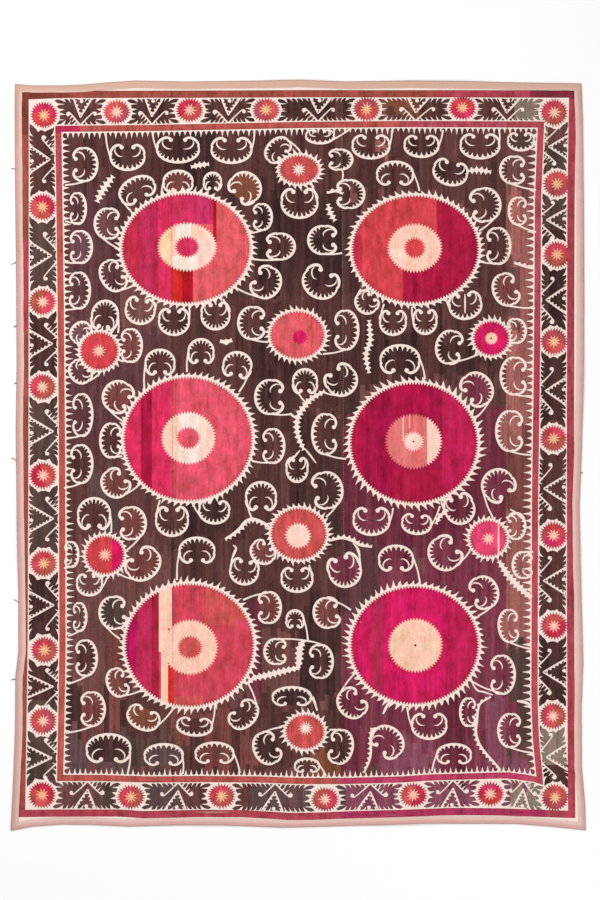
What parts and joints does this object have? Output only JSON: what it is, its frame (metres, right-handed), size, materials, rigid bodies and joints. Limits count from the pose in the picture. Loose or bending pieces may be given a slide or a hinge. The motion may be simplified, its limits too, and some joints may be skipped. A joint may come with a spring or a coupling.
{
  "type": "embroidered hanging",
  "caption": "Large embroidered cotton hanging of joined strips, with rayed roundels, curling sprigs, a leafy border and a folded edge binding.",
  "frame": {"origin": "middle of the rectangle around the hanging, on the floor plane that it lies on", "axes": "+Z out of the embroidered face, +Y along the strips towards the top edge of the pictured layout, +X across the strips to the right"},
  "size_m": [1.956, 2.553, 0.0071],
  "materials": {
    "panel": "cotton covered with couched silk embroidery, mostly dark brown and plum, soft satin sheen",
    "binding": "faded rose and tan cotton strip, matte",
    "thread_end": "grey cotton thread, matte"
  },
  "bodies": {
    "root": {"cloth_panel_1": "panel", "cloth_panel_2": "panel", "cloth_panel_3": "panel", "cloth_panel_4": "panel", "binding_left_upper": "binding", "binding_left_lower": "binding", "binding_right": "binding", "binding_top": "binding", "binding_bottom": "binding", "thread_end_1": "thread_end", "thread_end_2": "thread_end", "thread_end_3": "thread_end", "thread_end_4": "thread_end", "thread_end_5": "thread_end", "thread_end_6": "thread_end", "thread_end_7": "thread_end", "thread_end_8": "thread_end"}
  },
  "joints": []
}
